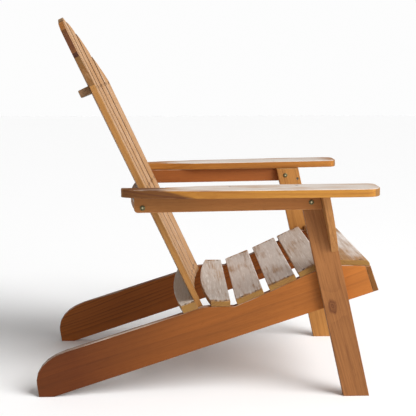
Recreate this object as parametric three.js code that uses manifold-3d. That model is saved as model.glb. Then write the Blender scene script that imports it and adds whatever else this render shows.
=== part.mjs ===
// Adirondack garden chair in oiled hardwood: screwed and bolted boards, no moving parts.
// Millimetres, +Z up, the chair faces -Y, +X is the sitter's left.
import * as THREE from "three";
import { mergeVertices } from "three/addons/utils/BufferGeometryUtils.js";
import Module from "manifold-3d";

const wasm = await Module();
wasm.setup();

// ---- Driving dimensions ----
// Positions in side view are pairs [forward from the rear foot, height above the ground].
const GAP = 0.3; // play between two pieces that touch
const EASE = 1.2; // chamfer that eases the edges of every board

const FRAME_THICK = 20; // side rails, legs, arm rails, armrests and back rails
const SLAT_THICK = 14; // seat slats, back slats and front apron
const SEAT_HALF = 247.5; // from the centre to the outer face of a side rail

const LEG_WIDTH = 65;
const LEG_LEAN = THREE.MathUtils.degToRad(13.07); // the foot of the leg stands ahead of its top
const LEG_FOOT = 787.5; // rear lower corner of the leg

const ARM_RISE = THREE.MathUtils.degToRad(0.83); // the arms climb a little to the front
const ARM_UNDER = [222, 527.1]; // rear end of the armrest, at its underside
const ARM_LENGTH = 628;
const RAIL_BACK = 253; // rear end of the arm rail
const RAIL_BOTTOM = 487.3;
const BRACKET_THICK = 18;
const BRACKET_DROP = 158; // length of the bracket down the leg
const BRACKET_REACH = 62; // how far it stands out under the armrest

const BACK_LEAN = THREE.MathUtils.degToRad(25.3);
const BACK_FOOT = [392, 228]; // rear face of the middle slat, at the level of the slats' lower ends
const BACK_RADIUS = 1460; // the back is dished to this radius
const BACK_COUNT = 7;
const BACK_WIDTH = 60;
const BACK_PITCH_LOW = 64.4;
const BACK_PITCH_HIGH = 70.5;
const BACK_TOP = 817; // length of the middle slat's rear face, foot to tip
const ARCH_FLAT = 895; // the top of the back follows one branch of a hyperbola: a larger value is flatter
const ARCH_SPREAD = 2.6; // the slope that its two arms run out to
const TOP_BULGE = 5; // the outermost slats' tops are cut rounder than the arch by this much

const UPPER_RAIL_AT = 602; // up the slats from their feet
const UPPER_RAIL_THICK = 19;
const UPPER_RAIL_DEPTH = 29;
const MIDDLE_RAIL_Z = 490; // its underside
const MIDDLE_RAIL_BACK = 253.5; // rear edge at its ends
const MIDDLE_RAIL_BOW = 20; // how much further back its middle reaches
const LOWER_RAIL_BACK = 374;
const LOWER_RAIL_BOW = 21;
const UPPER_RAIL_HALF = 214;

const BOLT_D = 6;
const HEAD_D = 13;
const HEAD_HIGH = 2.4;
const SOCKET_REACH = 2.3; // from the middle of the six-sided socket to its corners
const BORE = 6.6;
const SLEEVE_D = 8; // the cap nut's sleeve, inside the leg
const SLEEVE_LENGTH = 12;
const INSERT_D = 9;
const BARREL_D = 10;
const REAR_BOLT = [274, 500];
const FRONT_BOLT = [691, 512.5];
const LEG_BOLTS = { upper: [738, 308], lower: [772, 262] };
const SCREW_HEIGHTS = { upper: 502, lower: 430 };
const SCREW_BITE = { upper: 18, lower: 15 }; // how deep each goes into the bracket
const SCREW_D = 4;
const SCREW_BORE = 4.6;

// ---- Materials ----
function wood(color, roughness) {
  return () => new THREE.MeshStandardMaterial({ color, roughness, metalness: 0 });
}
const honeyWood = wood(0xb8763c, 0.55);
const redWood = wood(0x9c5528, 0.55);
const paleWood = wood(0xc39a70, 0.7);
const greyWood = wood(0xb3a08f, 0.8);
const agedBrass = () =>
  new THREE.MeshStandardMaterial({ color: 0x6f6446, roughness: 0.42, metalness: 0.9 });
const darkSteel = () =>
  new THREE.MeshStandardMaterial({ color: 0x4a4640, roughness: 0.5, metalness: 0.9 });

// ---- Solids ----
function toSolid(geometry) {
  const bare = geometry.clone();
  bare.deleteAttribute("normal");
  bare.deleteAttribute("uv");
  const merged = mergeVertices(bare, 1e-4);
  const vertProperties = merged.attributes.position.array;
  const triVerts = new Uint32Array(merged.index.array);
  return new wasm.Manifold(new wasm.Mesh({ numProp: 3, vertProperties, triVerts }));
}

function toGeometry(solid) {
  const mesh = solid.getMesh();
  const geometry = new THREE.BufferGeometry();
  const position = new THREE.BufferAttribute(new Float32Array(mesh.vertProperties), 3);
  geometry.setAttribute("position", position);
  geometry.setIndex(new THREE.BufferAttribute(new Uint32Array(mesh.triVerts), 1));
  geometry.computeVertexNormals();
  return geometry;
}

const chair = new THREE.Group();
chair.name = "adirondack_chair";

function place(name, solid, material) {
  const mesh = new THREE.Mesh(toGeometry(solid), material());
  mesh.name = name;
  chair.add(mesh);
}

// A board cut to an outline, with eased edges; it fills 0 to thick along its own z.
function board(outline, thick, ease = EASE) {
  const shape = new THREE.Shape(outline.map(([x, y]) => new THREE.Vector2(x, y)));
  const geometry = new THREE.ExtrudeGeometry(shape, {
    depth: thick - 2 * ease,
    bevelEnabled: true,
    bevelThickness: ease,
    bevelSize: ease,
    bevelOffset: -ease,
    bevelSegments: 1,
    curveSegments: 12,
  });
  return geometry.translate(0, 0, ease);
}

function frame(xAxis, yAxis, zAxis, origin) {
  const axes = [xAxis, yAxis, zAxis].map((axis) => new THREE.Vector3(...axis));
  return new THREE.Matrix4().makeBasis(...axes).setPosition(new THREE.Vector3(...origin));
}

// A board standing on edge along the chair, its outline given in side view, from x = low to high.
function sideBoard(outline, low, high) {
  const stand = frame([0, -1, 0], [0, 0, 1], [-1, 0, 0], [high, 0, 0]);
  return toSolid(board(outline, high - low).applyMatrix4(stand));
}

// A board lying across the chair, its outline given in plan as [sideways, forward].
// It lies on the side-view point "at" and climbs to the front by the angle "rise".
function flatBoard(outline, thick, at, rise) {
  const cos = Math.cos(rise);
  const sin = Math.sin(rise);
  const lie = frame([-1, 0, 0], [0, -cos, sin], [0, sin, cos], [0, -at[0], at[1]]);
  const mirrored = outline.map(([x, y]) => [-x, y]);
  return toSolid(board(mirrored, thick).applyMatrix4(lie));
}

function bar(radius, length, x, [forward, height], segments = 24) {
  const geometry = new THREE.CylinderGeometry(radius, radius, length, segments);
  return toSolid(geometry.rotateZ(Math.PI / 2).translate(x, -forward, height));
}

function bow(halfLength, sag, steps, atEnds) {
  const radius = (halfLength * halfLength) / (2 * sag);
  return Array.from({ length: steps + 1 }, (_, i) => {
    const x = halfLength * (1 - (2 * i) / steps);
    return [x, atEnds - sag + (x * x) / (2 * radius)];
  });
}

function roundCorner([x, y], radius, startAngle, endAngle, steps = 6) {
  return Array.from({ length: steps + 1 }, (_, i) => {
    const angle = THREE.MathUtils.degToRad(startAngle + ((endAngle - startAngle) * i) / steps);
    return [x + radius * Math.cos(angle), y + radius * Math.sin(angle)];
  });
}

function armUnderAt(forward) {
  return ARM_UNDER[1] + (forward - ARM_UNDER[0]) * Math.tan(ARM_RISE);
}

function legRearAt(height) {
  return LEG_FOOT - height * Math.tan(LEG_LEAN);
}

const LEG_SPAN = LEG_WIDTH / Math.cos(LEG_LEAN);

// ---- Side rails: one plank a side, from the rear foot up to the front of the seat ----
const RAIL_TOP_SLOPE = 0.322;
const railTopAt = (forward) => 98.5 + RAIL_TOP_SLOPE * forward;
const SEAT_LINE = [
  [424, 235],
  [436, 236.2],
  [504, 236.3],
  [590, 272.3],
  [668.5, 308.8],
  [741.5, 343.7],
];
const FRONT_TOP = [839.2, 340.6];
const FRONT_BOTTOM = [861.8, 272];
const FOOT_LENGTH = 37.6; // the level cut that the rear of the rail stands on
const railOutline = [
  [0, 0],
  [FOOT_LENGTH, 0],
  FRONT_BOTTOM,
  FRONT_TOP,
  ...SEAT_LINE.toReversed(),
  [71, railTopAt(71)],
  [45, 110.5],
  [24, 97],
  [9, 82],
  [-1, 65],
  [-5, 46],
  [-4.6, 34],
];

// ---- Front legs: they stand outside the side rails and carry the arms ----
const LEG_TOP = armUnderAt(legRearAt(530)) - GAP;
const legOutline = [
  [LEG_FOOT, 0],
  [LEG_FOOT + LEG_SPAN, 0],
  [legRearAt(LEG_TOP) + LEG_SPAN, armUnderAt(legRearAt(LEG_TOP) + LEG_SPAN) - GAP],
  [legRearAt(LEG_TOP), LEG_TOP],
];

// ---- Arm rails: bolted outside the legs, tight under the armrests ----
const BRACKET_SPAN = BRACKET_THICK / Math.cos(LEG_LEAN);
const bracketRearAt = (height) => legRearAt(height) + LEG_SPAN - BRACKET_SPAN;
const railFrontLow = bracketRearAt(494) - 2 * GAP;
const railFrontHigh = bracketRearAt(533) - 2 * GAP;
const armRailOutline = [
  ...roundCorner([RAIL_BACK + 9, RAIL_BOTTOM + 9], 9, 180, 270),
  [railFrontLow, RAIL_BOTTOM + (railFrontLow - RAIL_BACK) * Math.tan(ARM_RISE)],
  [railFrontHigh, armUnderAt(railFrontHigh) - GAP],
  [RAIL_BACK, armUnderAt(RAIL_BACK) - GAP],
];

// ---- Armrests: broad at the front, drawn in to a narrow tail at the rear ----
// Pairs are [out from the side rail's outer face, forward from the armrest's rear end].
const ARM_INNER = [
  [18, 0],
  [24, 60],
  [27, 100],
  [20, 145],
  [9, 190],
  [7, 260],
  [8, 370],
  [12, 500],
  [16, 598],
];
const ARM_OUTER = [
  [118, 590],
  [116, 528],
  [111, 428],
  [104, 311],
  [95, 191],
  [87, 144],
  [80, 96],
  [68, 47],
  [57, 20],
  [47, 4],
];
const armOutline = [
  [24, -1],
  ...ARM_INNER,
  ...roundCorner([42, ARM_LENGTH - 26], 26, 180, 90),
  ...roundCorner([86, ARM_LENGTH - 32], 32, 90, 0),
  ...ARM_OUTER,
  [42, 0],
];

// ---- Brackets: a curved board on edge under the front of each armrest ----
const bracketOutline = [
  [0, 0],
  [8, 11],
  [20, 30],
  [33, 54],
  [44, 80],
  [52, 106],
  [58, 135],
  [BRACKET_REACH, BRACKET_DROP + 12],
  [0, BRACKET_DROP + 12],
];

// Everything above the armrests' underside, for cutting the brackets to it.
const aboveArms = toSolid(
  new THREE.BoxGeometry(900, 1200, 200)
    .translate(0, 0, 100 - GAP)
    .rotateX(-ARM_RISE)
    .translate(0, -ARM_UNDER[0], ARM_UNDER[1]),
);

const sides = [
  { name: "right", sign: -1 },
  { name: "left", sign: 1 },
];

// Turned hardware lies along x; "sign" points its head to that side.
function turned(profile, sign, x, [forward, height], segments = 20) {
  const points = profile.map(([radius, along]) => new THREE.Vector2(radius, along));
  const geometry = new THREE.LatheGeometry(points, segments);
  geometry.rotateZ(sign > 0 ? -Math.PI / 2 : Math.PI / 2);
  return toSolid(geometry.translate(x, -forward, height));
}

// A low domed head with a six-sided key socket; the head's seat is at 0, the shank runs inward.
function socketBolt(length, sign, x, at) {
  const profile = [
    [0, -length],
    [BOLT_D / 2 - 0.6, -length],
    [BOLT_D / 2, -length + 0.8],
    [BOLT_D / 2, 0],
    [HEAD_D / 2, 0],
    [HEAD_D / 2, 0.9],
    [HEAD_D / 2 - 1.4, 2.1],
    [0, HEAD_HIGH],
  ];
  const socket = bar(SOCKET_REACH, 4, x + sign * (HEAD_HIGH + 0.2), at, 6);
  return turned(profile, sign, x, at).subtract(socket);
}

// A flanged cap nut: its flange sits at 0 facing out, and its sleeve runs inward round the bolt's end.
function capNut(sign, x, at) {
  const profile = [
    [0, -0.6],
    [BORE / 2, -0.6],
    [BORE / 2, -SLEEVE_LENGTH],
    [SLEEVE_D / 2, -SLEEVE_LENGTH],
    [SLEEVE_D / 2, 0],
    [HEAD_D / 2, 0],
    [HEAD_D / 2, 1],
    [HEAD_D / 2 - 1.2, 2],
    [0, HEAD_HIGH],
  ];
  const socket = bar(SOCKET_REACH, 4, x + sign * (HEAD_HIGH + 0.8), at, 6);
  return turned(profile, sign, x, at).subtract(socket);
}

function tube(outer, inner, low, high, sign, x, at) {
  const ring = [[inner, low], [outer, low], [outer, high], [inner, high], [inner, low]];
  return turned(ring, sign, x, at);
}

const LEG_IN = SEAT_HALF + GAP;
const LEG_OUT = LEG_IN + FRAME_THICK;
const RAIL_IN = LEG_OUT + GAP;
const RAIL_OUT = RAIL_IN + FRAME_THICK;
const SIDE_IN = SEAT_HALF - FRAME_THICK;

const screwAt = (height) => [
  legRearAt(height) + LEG_SPAN - BRACKET_THICK / 2 / Math.cos(LEG_LEAN),
  height,
];

for (const { name, sign } of sides) {
  const span = (inner, outer) => (sign > 0 ? [inner, outer] : [-outer, -inner]);
  let rail = sideBoard(railOutline, ...span(SIDE_IN, SEAT_HALF));
  let leg = sideBoard(legOutline, ...span(LEG_IN, LEG_OUT));
  let armRail = sideBoard(armRailOutline, ...span(RAIL_IN, RAIL_OUT));

  // Two bolts a side, put in from inside the seat, pull the leg to the side rail.
  for (const [level, at] of Object.entries(LEG_BOLTS)) {
    rail = rail.subtract(bar(BORE / 2, 30, sign * (SEAT_HALF - 10), at));
    leg = leg.subtract(bar(INSERT_D / 2 + GAP, 15, sign * (LEG_IN + 7.4), at));
    const bolt = socketBolt(35, -sign, sign * (SIDE_IN - GAP), at);
    const insert = tube(INSERT_D / 2, BORE / 2, -12, -0.2, -sign, sign * LEG_IN, at);
    place(`leg_bolt_${level}_${name}`, bolt, agedBrass);
    place(`leg_insert_${level}_${name}`, insert, darkSteel);
  }

  // One bolt a side ties the arm rail to the leg, with a cap nut on the leg's inner face.
  armRail = armRail.subtract(bar(BORE / 2, 40, sign * (RAIL_IN + 10), FRONT_BOLT));
  armRail = armRail.subtract(bar(BORE / 2, 40, sign * (RAIL_IN + 10), REAR_BOLT));
  leg = leg.subtract(bar(SLEEVE_D / 2 + GAP, 40, sign * (LEG_IN + 10), FRONT_BOLT));
  place(`arm_front_bolt_${name}`, socketBolt(38, sign, sign * (RAIL_OUT + GAP), FRONT_BOLT), agedBrass);
  place(`arm_front_nut_${name}`, capNut(-sign, sign * (LEG_IN - GAP), FRONT_BOLT), agedBrass);
  place(`arm_rear_bolt_${name}`, socketBolt(58, sign, sign * (RAIL_OUT + GAP), REAR_BOLT), agedBrass);

  const bracketTurn = frame(
    [sign, 0, 0],
    [0, Math.sin(LEG_LEAN), Math.cos(LEG_LEAN)],
    [0, -sign * Math.cos(LEG_LEAN), sign * Math.sin(LEG_LEAN)],
    [sign * RAIL_IN, 0, 0],
  );
  const tip = armUnderAt(730) - BRACKET_DROP * Math.cos(LEG_LEAN);
  // The right bracket's outline is drawn on its front face, the left one's on its rear face.
  const ahead = sign > 0 ? 0 : BRACKET_THICK;
  let bracket = toSolid(
    board(bracketOutline, BRACKET_THICK, 0.8)
      .applyMatrix4(bracketTurn)
      .translate(0, -bracketRearAt(tip) - ahead * Math.cos(LEG_LEAN), tip + ahead * Math.sin(LEG_LEAN)),
  ).subtract(aboveArms);

  // Two countersunk screws through the leg hold the bracket.
  for (const [level, height] of Object.entries(SCREW_HEIGHTS)) {
    const at = screwAt(height);
    const sink = [
      [0, -4],
      [1, -4],
      [4.6, 0.4],
      [4.6, 2],
      [0, 2],
    ];
    leg = leg.subtract(bar(SCREW_BORE / 2, 60, sign * LEG_IN, at, 16));
    leg = leg.subtract(turned(sink, -sign, sign * LEG_IN, at, 16));
    bracket = bracket.subtract(bar(SCREW_BORE / 2, 40, sign * RAIL_IN, at, 16));
    const depth = FRAME_THICK + SCREW_BITE[level];
    const profile = [
      [0, -depth],
      [0.5, -depth],
      [SCREW_D / 2, -depth + 4],
      [SCREW_D / 2, -2.6],
      [SCREW_D, -0.2],
      [SCREW_D, 0],
      [0, 0],
    ];
    const screw = turned(profile, -sign, sign * LEG_IN, at, 16);
    place(`bracket_screw_${level}_${name}`, screw, darkSteel);
  }

  const plan = armOutline.map(([out, forward]) => [sign * (SEAT_HALF + out), forward]);
  place(`side_rail_${name}`, rail, redWood);
  place(`front_leg_${name}`, leg, honeyWood);
  place(`arm_rail_${name}`, armRail, redWood);
  place(`armrest_${name}`, flatBoard(plan, FRAME_THICK, ARM_UNDER, ARM_RISE), honeyWood);
  place(`arm_bracket_${name}`, bracket, honeyWood);
}

// ---- Seat slats: number 1 is the front one ----
// Each lies on a straight stretch of the side rails' top edge, from "from" toward "to".
function seatSlat(from, to, start, width, nose) {
  const rise = Math.atan2(to[1] - from[1], to[0] - from[0]);
  const eased = [
    [width - 2, SLAT_THICK],
    [width, SLAT_THICK - 2],
  ];
  const round = nose ? roundCorner([width - nose, SLAT_THICK - nose], nose, 90, 0, 5) : eased;
  const section = [[0, 0], [0, SLAT_THICK - 2], [2, SLAT_THICK], ...round, [width, 1], [width - 1, 0]];
  const outline = section.map(([x, y]) => {
    const along = start + x;
    const up = y + GAP;
    return [
      from[0] + along * Math.cos(rise) - up * Math.sin(rise),
      from[1] + along * Math.sin(rise) + up * Math.cos(rise),
    ];
  });
  return sideBoard(outline, -SEAT_HALF + GAP, SEAT_HALF - GAP);
}

place("seat_slat_1", seatSlat(SEAT_LINE[5], FRONT_TOP, 9, 100, 11), greyWood);
place("seat_slat_2", seatSlat(SEAT_LINE[4], SEAT_LINE[5], 4, 73, 0), greyWood);
place("seat_slat_3", seatSlat(SEAT_LINE[3], SEAT_LINE[4], 7, 74, 0), greyWood);
place("seat_slat_4", seatSlat(SEAT_LINE[2], SEAT_LINE[3], 9.5, 74, 0), greyWood);

// The rearmost slat is straight in front and bowed behind, to follow the dished back.
const REAR_SLAT_END = 445;
const REAR_SLAT_WIDTH = 49; // at its two ends
const REAR_SLAT_BOW = 21;
const rearSlat = [
  [-SEAT_HALF + GAP, REAR_SLAT_WIDTH],
  ...bow(SEAT_HALF - GAP, REAR_SLAT_BOW, 24, 0).toReversed(),
  [SEAT_HALF - GAP, REAR_SLAT_WIDTH],
];
const rearSlatAt = [REAR_SLAT_END, SEAT_LINE[2][1] + GAP];
place("seat_slat_5", flatBoard(rearSlat, SLAT_THICK, rearSlatAt, 0), greyWood);

// ---- Front apron: closes the front ends of the side rails, under the first slat ----
const apronRun = [FRONT_BOTTOM[0] - FRONT_TOP[0], FRONT_BOTTOM[1] - FRONT_TOP[1]];
const apronDeep = Math.hypot(...apronRun);
const shift = ([x, y], d) => [x - (apronRun[1] * d) / apronDeep, y + (apronRun[0] * d) / apronDeep];
const seatDrop = (FRONT_TOP[1] - SEAT_LINE[5][1]) / (FRONT_TOP[0] - SEAT_LINE[5][0]);
const apronTop = (d) => {
  const corner = shift(FRONT_TOP, d);
  return [corner[0], FRONT_TOP[1] + (corner[0] - FRONT_TOP[0]) * seatDrop - 0.1];
};
const apronOutline = [
  shift(FRONT_BOTTOM, GAP),
  shift(FRONT_BOTTOM, SLAT_THICK),
  apronTop(SLAT_THICK),
  apronTop(GAP),
];
place("front_apron", sideBoard(apronOutline, -SEAT_HALF + GAP, SEAT_HALF - GAP), redWood);

// ---- Back ----
// The back's own frame: x sideways, y up along the slats, z out of their front face.
const backFrame = frame(
  [1, 0, 0],
  [0, Math.sin(BACK_LEAN), Math.cos(BACK_LEAN)],
  [0, -Math.cos(BACK_LEAN), Math.sin(BACK_LEAN)],
  [0, -BACK_FOOT[0], BACK_FOOT[1]],
);

// How far the outline of the back has dropped below the tip, at a distance from the centre line.
function archDrop(x) {
  return Math.hypot(ARCH_FLAT, ARCH_SPREAD * x) - ARCH_FLAT;
}

// The slats fan out from the seat, tangent to one wide cylinder.
const BACK_MIDDLE = BACK_TOP / 2;
const TOP_STEPS = 8; // facets across the top of one slat
const FOOT_SPARE = 12; // cut off level again at the slats' lower ends
const belowFeet = toSolid(
  new THREE.BoxGeometry(700, 200, 40).translate(0, -BACK_FOOT[0], BACK_FOOT[1] - 20),
);

function backSlat(index) {
  const step = index - (BACK_COUNT - 1) / 2;
  const pitch = (BACK_PITCH_LOW + BACK_PITCH_HIGH) / 2;
  const fan = (step * (BACK_PITCH_HIGH - BACK_PITCH_LOW)) / BACK_TOP;
  const tops = Array.from({ length: TOP_STEPS + 1 }, (_, i) => {
    const share = 1 - (2 * i) / TOP_STEPS;
    const x = (BACK_WIDTH / 2) * share;
    const bulge = ((TOP_BULGE * Math.abs(step)) / 3) * (1 - share * share);
    return [x, BACK_TOP - archDrop(step * BACK_PITCH_HIGH + x) + bulge];
  });
  const outline = [
    [-BACK_WIDTH / 2, -FOOT_SPARE],
    [BACK_WIDTH / 2, -FOOT_SPARE],
    ...tops,
  ];
  const geometry = board(outline, SLAT_THICK);
  geometry.translate(0, -BACK_MIDDLE, 0).rotateZ(-fan).translate(0, BACK_MIDDLE, 0);
  geometry.translate(0, 0, -BACK_RADIUS).rotateY(-(step * pitch) / BACK_RADIUS);
  geometry.translate(0, 0, BACK_RADIUS).applyMatrix4(backFrame);
  return toSolid(geometry).subtract(belowFeet);
}

for (let i = 0; i < BACK_COUNT; i++) {
  place(`back_slat_${i + 1}`, backSlat(i), paleWood);
}

// The room in front of the back rails: their front edges are scooped to the dish of the slats.
const dish = toSolid(
  new THREE.CylinderGeometry(BACK_RADIUS + 0.9, BACK_RADIUS + 0.9, 1400, 560)
    .translate(0, 300, BACK_RADIUS)
    .applyMatrix4(backFrame),
);

// Each back rail is drawn as a blank wide enough to reach through the dish, which then cuts its front edge.
const BLANK_WIDTH = 70;

// The lower back rail is screwed on the side rails, behind the feet of the slats.
const lowerHalf = SEAT_HALF - GAP;
const lowerRail = [
  ...bow(lowerHalf, LOWER_RAIL_BOW, 24, 0),
  [-lowerHalf, BLANK_WIDTH],
  [lowerHalf, BLANK_WIDTH],
];
const lowerSeat = [LOWER_RAIL_BACK, railTopAt(LOWER_RAIL_BACK) + GAP];
place(
  "lower_back_rail",
  flatBoard(lowerRail, FRAME_THICK, lowerSeat, Math.atan(RAIL_TOP_SLOPE)).subtract(dish),
  greyWood,
);

// The middle back rail spans between the arm rails and is bolted into their rear ends.
const middleHalf = RAIL_IN - GAP;
const middleRail = [
  ...bow(middleHalf, MIDDLE_RAIL_BOW, 24, 0),
  [-middleHalf, BLANK_WIDTH],
  [middleHalf, BLANK_WIDTH],
];
const middleAt = [MIDDLE_RAIL_BACK, MIDDLE_RAIL_Z];
let middle = flatBoard(middleRail, FRAME_THICK, middleAt, 0).subtract(dish);
for (const { name, sign } of sides) {
  const barrelX = sign * (middleHalf - 27);
  const upright = (radius, low, high, segments) =>
    toSolid(
      new THREE.CylinderGeometry(radius, radius, high - low, segments)
        .rotateX(Math.PI / 2)
        .translate(barrelX, -REAR_BOLT[0], (low + high) / 2),
    );
  middle = middle.subtract(bar(BORE / 2, 80, sign * middleHalf, REAR_BOLT));
  middle = middle.subtract(upright(BARREL_D / 2 + GAP, MIDDLE_RAIL_Z - 5, 507.6, 24));
  const barrel = upright(BARREL_D / 2, 492.5, 507.3, 24).subtract(bar(BORE / 2, 40, barrelX, REAR_BOLT));
  place(`arm_rear_barrel_nut_${name}`, barrel, darkSteel);
}
place("middle_back_rail", middle, honeyWood);

// The upper back rail stands square to the slats, across their rear faces.
const upperHalf = UPPER_RAIL_HALF;
const upperSag = (upperHalf * upperHalf) / (2 * BACK_RADIUS);
const upperRail = [
  ...bow(upperHalf, upperSag, 20, upperSag - UPPER_RAIL_DEPTH),
  [-upperHalf, BLANK_WIDTH],
  [upperHalf, BLANK_WIDTH],
];
const upperTurn = new THREE.Matrix4().makeRotationX(Math.PI / 2);
upperTurn.premultiply(new THREE.Matrix4().makeTranslation(0, UPPER_RAIL_AT + UPPER_RAIL_THICK, 0));
place(
  "upper_back_rail",
  toSolid(board(upperRail, UPPER_RAIL_THICK).applyMatrix4(upperTurn).applyMatrix4(backFrame)).subtract(dish),
  redWood,
);

// The origin sits on the ground under the middle of the chair.
const box = new THREE.Box3().setFromObject(chair);
chair.position.set(-(box.min.x + box.max.x) / 2, -(box.min.y + box.max.y) / 2, -box.min.z);

export default chair;
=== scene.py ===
import math

import bmesh
import bpy
from mathutils import Matrix, Vector


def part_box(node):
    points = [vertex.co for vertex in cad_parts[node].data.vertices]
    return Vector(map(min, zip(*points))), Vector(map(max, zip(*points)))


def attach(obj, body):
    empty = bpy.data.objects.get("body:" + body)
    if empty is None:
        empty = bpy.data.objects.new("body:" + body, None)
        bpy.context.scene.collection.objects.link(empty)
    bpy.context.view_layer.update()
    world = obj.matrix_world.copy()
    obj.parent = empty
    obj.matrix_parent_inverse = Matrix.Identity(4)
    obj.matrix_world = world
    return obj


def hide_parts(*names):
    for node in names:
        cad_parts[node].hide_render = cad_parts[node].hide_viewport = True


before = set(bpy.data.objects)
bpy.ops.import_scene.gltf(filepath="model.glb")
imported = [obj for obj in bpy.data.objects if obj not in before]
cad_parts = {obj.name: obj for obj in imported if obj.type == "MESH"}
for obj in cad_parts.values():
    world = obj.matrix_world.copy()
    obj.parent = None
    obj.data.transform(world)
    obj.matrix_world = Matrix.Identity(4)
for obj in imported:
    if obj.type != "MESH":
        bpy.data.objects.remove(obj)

scene = bpy.context.scene
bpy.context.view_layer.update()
sides = {"right": -1, "left": 1}  # the sitter's right is towards -X


def paint(hexColour):  # "#rrggbb" as it looks on screen, to a linear colour
    parts = [int(hexColour[i:i + 2], 16) / 255 for i in (1, 3, 5)]
    linear = [p / 12.92 if p <= 0.04045 else ((p + 0.055) / 1.055) ** 2.4 for p in parts]
    return (*linear, 1.0)


def plug(tree, value, socket):
    if isinstance(value, Field):
        value = value.socket
    if isinstance(value, bpy.types.NodeSocket):
        tree.links.new(value, socket)
    else:
        socket.default_value = value


class Field:  # a number carried by a node socket, so that node trees read as sums
    def __init__(self, tree, socket):
        self.tree = tree
        self.socket = socket

    def math(self, operation, *values, clamp=False):
        node = self.tree.nodes.new("ShaderNodeMath")
        node.operation = operation
        node.use_clamp = clamp
        for value, socket in zip(values, node.inputs):
            plug(self.tree, value, socket)
        return Field(self.tree, node.outputs[0])

    def __add__(self, other):
        return self.math("ADD", self, other)

    def __sub__(self, other):
        return self.math("SUBTRACT", self, other)

    def __mul__(self, other):
        return self.math("MULTIPLY", self, other)

    def __truediv__(self, other):
        return self.math("DIVIDE", self, other)

    def __rsub__(self, other):
        return self.math("SUBTRACT", other, self)

    def __pow__(self, other):
        return self.math("POWER", self, other)

    __radd__ = __add__

    def sin(self):
        return self.math("SINE", self)

    def cos(self):
        return self.math("COSINE", self)

    def abs(self):
        return self.math("ABSOLUTE", self)

    def fract(self):
        return self.math("FRACT", self)

    def exp(self):
        return self.math("EXPONENT", self)

    def floor(self):
        return self.math("FLOOR", self)

    def clamp(self):
        return self.math("ADD", self, 0.0, clamp=True)


def addNode(tree, kind, inputs=None, **settings):
    node = tree.nodes.new(kind)
    for key, value in settings.items():
        setattr(node, key, value)
    for key, value in (inputs or {}).items():
        plug(tree, value, node.inputs[key])
    return node


def split(tree, vector):
    node = addNode(tree, "ShaderNodeSeparateXYZ", {0: vector})
    return [Field(tree, output) for output in node.outputs]


def join(tree, x, y, z):
    return addNode(tree, "ShaderNodeCombineXYZ", {0: x, 1: y, 2: z}).outputs[0]


def noise(tree, vector, detail=2.0, roughness=0.5, scale=1.0):
    inputs = {"Vector": vector, "Scale": scale, "Detail": detail, "Roughness": roughness}
    return Field(tree, addNode(tree, "ShaderNodeTexNoise", inputs).outputs["Fac"])


def ramp(tree, value, low, high):  # 0 below low, 1 above high, smooth between
    inputs = {"Value": value, "From Min": low, "From Max": high}
    node = addNode(tree, "ShaderNodeMapRange", inputs, interpolation_type="SMOOTHSTEP")
    return Field(tree, node.outputs[0])


def mixColour(tree, factor, first, second, blend="MIX"):
    node = addNode(tree, "ShaderNodeMix", data_type="RGBA", blend_type=blend)
    node.clamp_factor = True
    plug(tree, factor, node.inputs[0])
    plug(tree, first, node.inputs[6])
    plug(tree, second, node.inputs[7])
    return node.outputs[2]


def attribute(tree, name):
    return Field(tree, addNode(tree, "ShaderNodeAttribute", attribute_name=name).outputs["Fac"])


def newGroup(name, kind, inputs, outputs):
    tree = bpy.data.node_groups.new(name, kind)
    for direction, sockets in (("INPUT", inputs), ("OUTPUT", outputs)):
        for label, (socketKind, value) in sockets.items():
            socket = tree.interface.new_socket(label, in_out=direction, socket_type=socketKind)
            if value is not None:
                socket.default_value = value
    source = tree.nodes.new("NodeGroupInput")
    target = tree.nodes.new("NodeGroupOutput")
    return tree, source.outputs, target.inputs


def useGroup(tree, group, inputs):
    node = tree.nodes.new("ShaderNodeGroup")
    node.node_tree = group
    for key, value in inputs.items():
        plug(tree, value, node.inputs[key])
    return node.outputs


floatSocket = "NodeSocketFloat"
colourSocket = "NodeSocketColor"
vectorSocket = "NodeSocketVector"


grainWaves = {  # in a metre, across and along the board
    "slow": (8.0, 1.5), "quick": (55.0, 5.0), "lump": (95.0, 60.0), "tone": (16.0, 2.4),
    "fibre": (380.0, 8.0), "fine": (1100.0, 38.0), "patch": (60.0, 26.0),
    "cloud": (22.0, 6.0), "streak": (130.0, 8.0), "thread": (620.0, 18.0),
}
figure = {
    "heartOff": 0.07, "heartBelow": 0.028, "heartBelowMore": 0.03,  # where the heart of the tree lies
    "sharpness": 2.4,  # how late in a year's ring its dark line comes
    "knotStretch": 0.55, "knotWobble": 0.011,  # a knot is longer than wide, and uneven
    "knotReach": 2.6, "knotSwell": 1.4, "knotRings": 0.5,  # how it bends the grain, and its own rings
}


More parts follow.
